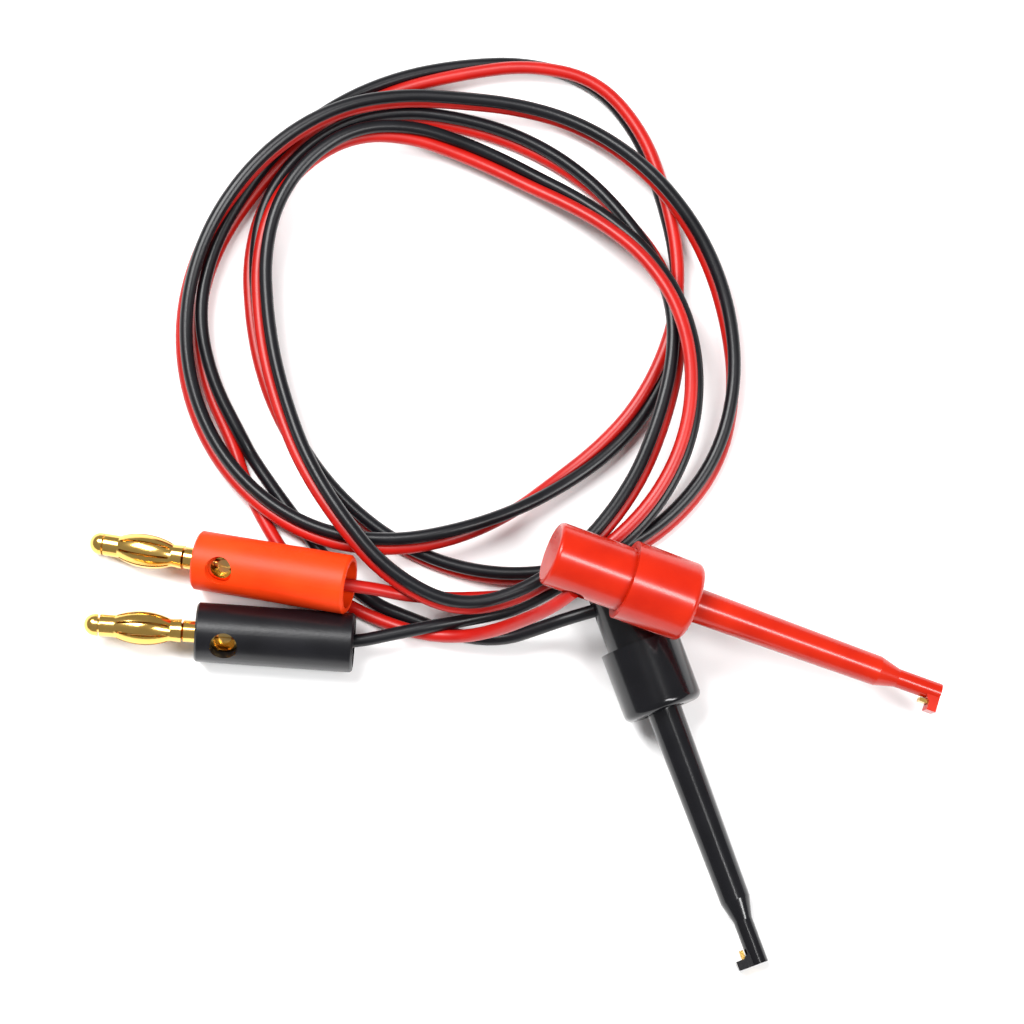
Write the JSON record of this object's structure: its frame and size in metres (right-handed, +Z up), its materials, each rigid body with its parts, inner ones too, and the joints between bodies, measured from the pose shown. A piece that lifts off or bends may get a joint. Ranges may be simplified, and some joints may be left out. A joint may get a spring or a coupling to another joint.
{
  "type": "test lead set",
  "caption": "Test lead with lantern banana plugs, a bonded red and black twin cord in a loose coil, and spring-loaded round hook clips.",
  "frame": {"origin": "on the table, at the middle of the box round both hook clips", "axes": "+Z up from the table; +Y away from the viewer, along the black clip's rear; +X to the right, along the red clip's tip"},
  "size_m": [0.1164, 0.1274, 0.0255],
  "materials": {
    "red_gloss": "glossy moulded plastic",
    "black_gloss": "glossy moulded plastic",
    "red_satin": "satin moulded plastic",
    "black_satin": "satin moulded plastic",
    "red_cord": "soft cord insulation, slight sheen",
    "black_cord": "soft cord insulation, slight sheen",
    "gold_plate": "polished gold plating",
    "brass": "turned brass",
    "copper": "bare copper strands",
    "spring_steel": "drawn spring wire"
  },
  "bodies": {
    "lead": {"cord_coil": "black_cord", "red_plunger": "red_gloss", "red_hook_wire": "gold_plate", "red_solder_terminal": "brass", "red_clip_strands": "copper", "red_spring_washer": "brass", "red_return_spring": "spring_steel", "red_pin_core": "gold_plate", "red_sleeve": "red_satin", "red_clamp_screw": "brass", "red_plug_strands": "copper", "red_clip_tail": "red_cord", "red_plug_tail": "red_cord", "black_plunger": "black_gloss", "black_hook_wire": "gold_plate", "black_solder_terminal": "brass", "black_clip_strands": "copper", "black_spring_washer": "brass", "black_return_spring": "spring_steel", "black_pin_core": "gold_plate", "black_sleeve": "black_satin", "black_clamp_screw": "brass", "black_plug_strands": "copper", "black_clip_tail": "black_cord", "black_plug_tail": "black_cord"},
    "red_grip": {"red_barrel": "red_gloss", "red_finger_collar": "red_gloss"},
    "black_grip": {"black_barrel": "black_gloss", "black_finger_collar": "black_gloss"},
    "red_cage": {"red_lantern_cage": "gold_plate"},
    "black_cage": {"black_lantern_cage": "gold_plate"}
  },
  "joints": [
    {"name": "red_grip_slide", "type": "slide", "parent": "lead", "child": "red_grip", "axis": [-0.9222, 0.2872, 0.2588], "range_m": [0, 0.004], "stiffness_N_per_m": 200, "springref_m": -0.004, "deforming": ["red_return_spring"]},
    {"name": "black_grip_slide", "type": "slide", "parent": "lead", "child": "black_grip", "axis": [-0.3481, 0.931, 0.1097], "range_m": [0, 0.004], "stiffness_N_per_m": 200, "springref_m": -0.004, "deforming": ["black_return_spring"]},
    {"name": "red_cage_spin", "type": "hinge", "parent": "lead", "child": "red_cage", "pos_m": [-0.08051, 0.02882, 0.00285], "axis": [-0.9677, 0.1951, -0.1599], "continuous": true},
    {"name": "black_cage_spin", "type": "hinge", "parent": "lead", "child": "black_cage", "pos_m": [-0.08083, 0.01792, 0.00407], "axis": [-0.9974, 0.0715, 0], "continuous": true}
  ]
}
